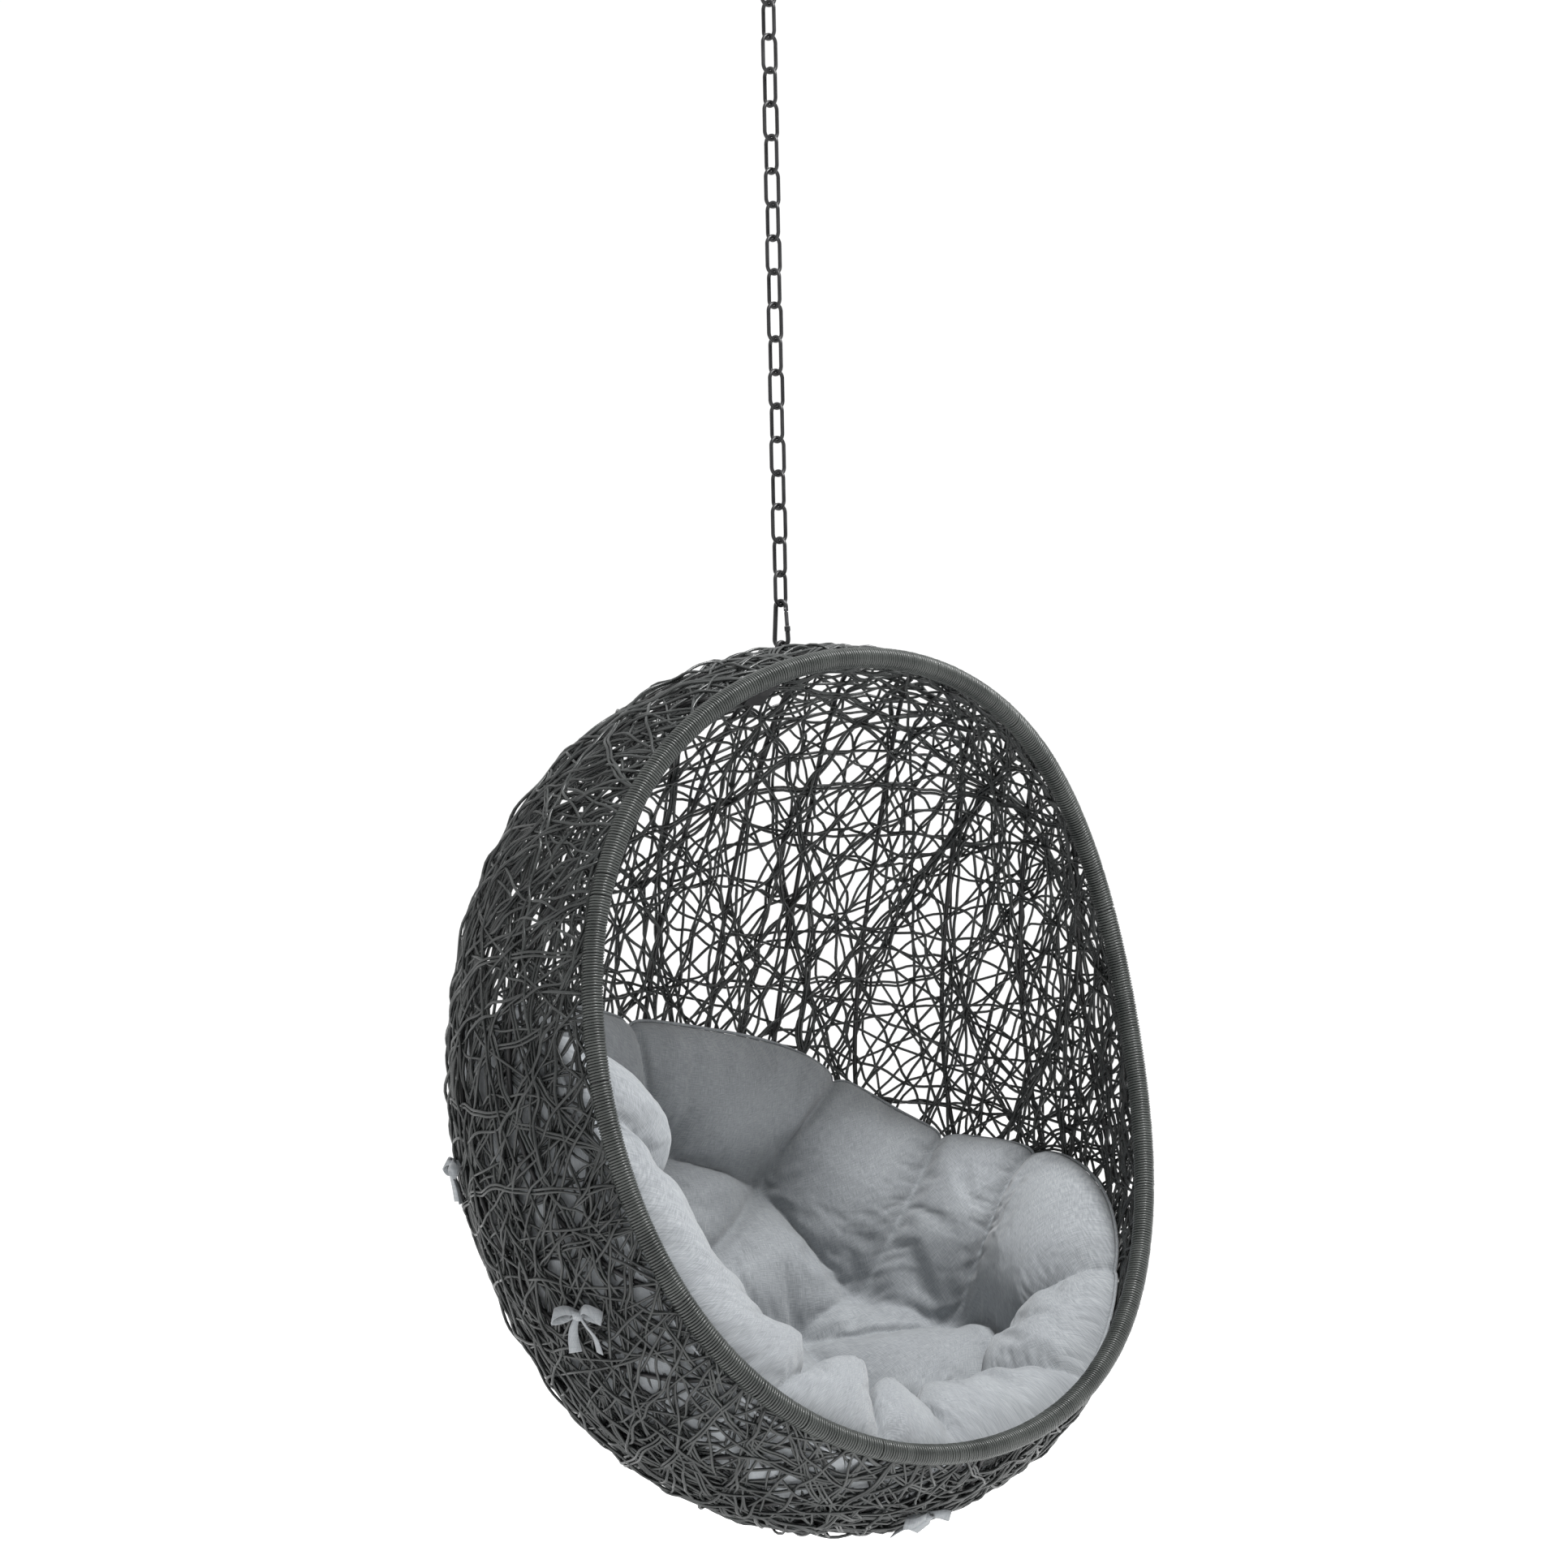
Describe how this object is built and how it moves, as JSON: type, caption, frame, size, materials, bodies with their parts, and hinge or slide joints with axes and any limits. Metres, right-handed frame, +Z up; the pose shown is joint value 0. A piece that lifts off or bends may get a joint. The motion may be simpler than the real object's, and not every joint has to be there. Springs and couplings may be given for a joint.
{
  "type": "hanging egg chair",
  "caption": "Open-fronted wicker egg chair with a tufted cushion, hung from a ceiling swivel by a chain with a snap hook at each end.",
  "frame": {"origin": "centre of the ceiling plate's top face, on the line of the chain", "axes": "+Z up along the chain towards the ceiling; -Y towards the open front of the basket; +X to the right of someone who looks in through the opening"},
  "size_m": [0.9932, 0.6646, 2.1228],
  "materials": {
    "black_metal": "satin powder coat",
    "bare_steel": "zinc plated",
    "charcoal_cane": "satin synthetic cane",
    "grey_fabric": "heathered woven fabric"
  },
  "bodies": {
    "ceiling": {"ceiling_plate": "black_metal", "swivel_housing": "black_metal", "lower_race": "bare_steel", "bearing_balls": "bare_steel"},
    "swivel": {"upper_race": "bare_steel", "swivel_stem": "black_metal", "stem_nut": "bare_steel"},
    "upper_hook": {"upper_hook": "black_metal", "upper_hook_pin": "bare_steel"},
    "upper_gate": {"upper_hook_gate": "black_metal", "upper_hook_spring": "bare_steel"},
    "chain": {"chain_link_01": "black_metal", "chain_link_02": "black_metal", "chain_link_03": "black_metal", "chain_link_04": "black_metal", "chain_link_05": "black_metal", "chain_link_06": "black_metal", "chain_link_07": "black_metal", "chain_link_08": "black_metal", "chain_link_09": "black_metal", "chain_link_10": "black_metal", "chain_link_11": "black_metal", "chain_link_12": "black_metal", "chain_link_13": "black_metal", "chain_link_14": "black_metal", "chain_link_15": "black_metal", "chain_link_16": "black_metal", "chain_link_17": "black_metal", "chain_link_18": "black_metal", "chain_link_19": "black_metal"},
    "lower_hook": {"lower_hook": "black_metal", "lower_hook_pin": "bare_steel"},
    "lower_gate": {"lower_hook_gate": "black_metal", "lower_hook_spring": "bare_steel"},
    "basket": {"rim_tube": "black_metal", "rim_spigot": "bare_steel", "rim_wrap": "charcoal_cane", "hanger_strap": "black_metal", "hanging_eye": "black_metal", "rib_01": "black_metal", "rib_02": "black_metal", "rib_03": "black_metal", "rib_04": "black_metal", "rib_05": "black_metal", "rib_06": "black_metal", "rib_07": "black_metal", "rib_08": "black_metal", "rib_09": "black_metal", "rib_10": "black_metal", "rib_11": "black_metal", "rib_12": "black_metal", "rib_13": "black_metal", "wicker_outer": "charcoal_cane", "wicker_inner": "charcoal_cane", "cushion_cover": "grey_fabric", "cushion_fill": "grey_fabric", "cushion_tufts": "grey_fabric", "cushion_ties": "grey_fabric"}
  },
  "joints": [
    {"name": "swivel_turn", "type": "hinge", "parent": "ceiling", "child": "swivel", "pos_m": [0, 0, -0.035], "axis": [0, 0, 1], "continuous": true},
    {"name": "upper_hook_swing", "type": "hinge", "parent": "swivel", "child": "upper_hook", "pos_m": [0, 0, -0.0745], "axis": [1, 0, 0], "range_deg": [-15, 15]},
    {"name": "chain_swing", "type": "hinge", "parent": "upper_hook", "child": "chain", "pos_m": [0, 0, -0.1268], "axis": [0, 1, 0], "range_deg": [-12, 12]},
    {"name": "lower_hook_swing", "type": "hinge", "parent": "chain", "child": "lower_hook", "pos_m": [0, 0, -0.944], "axis": [0.9781, 0.2079, 0], "range_deg": [-10, 10]},
    {"name": "basket_swing", "type": "hinge", "parent": "lower_hook", "child": "basket", "pos_m": [0, 0, -0.9973], "axis": [0.4226, -0.9063, 0], "range_deg": [-10, 10]},
    {"name": "upper_gate_open", "type": "hinge", "parent": "upper_hook", "child": "upper_gate", "pos_m": [0, 0.00716, -0.11722], "axis": [1, 0, 0], "range_deg": [0, 26], "stiffness_Nm_per_rad": 0.02, "springref_deg": -28.65},
    {"name": "lower_gate_open", "type": "hinge", "parent": "lower_hook", "child": "lower_gate", "pos_m": [0.00303, -0.00649, -0.94788], "axis": [0.9063, 0.4226, 0], "range_deg": [0, 26], "stiffness_Nm_per_rad": 0.02, "springref_deg": -28.65}
  ]
}
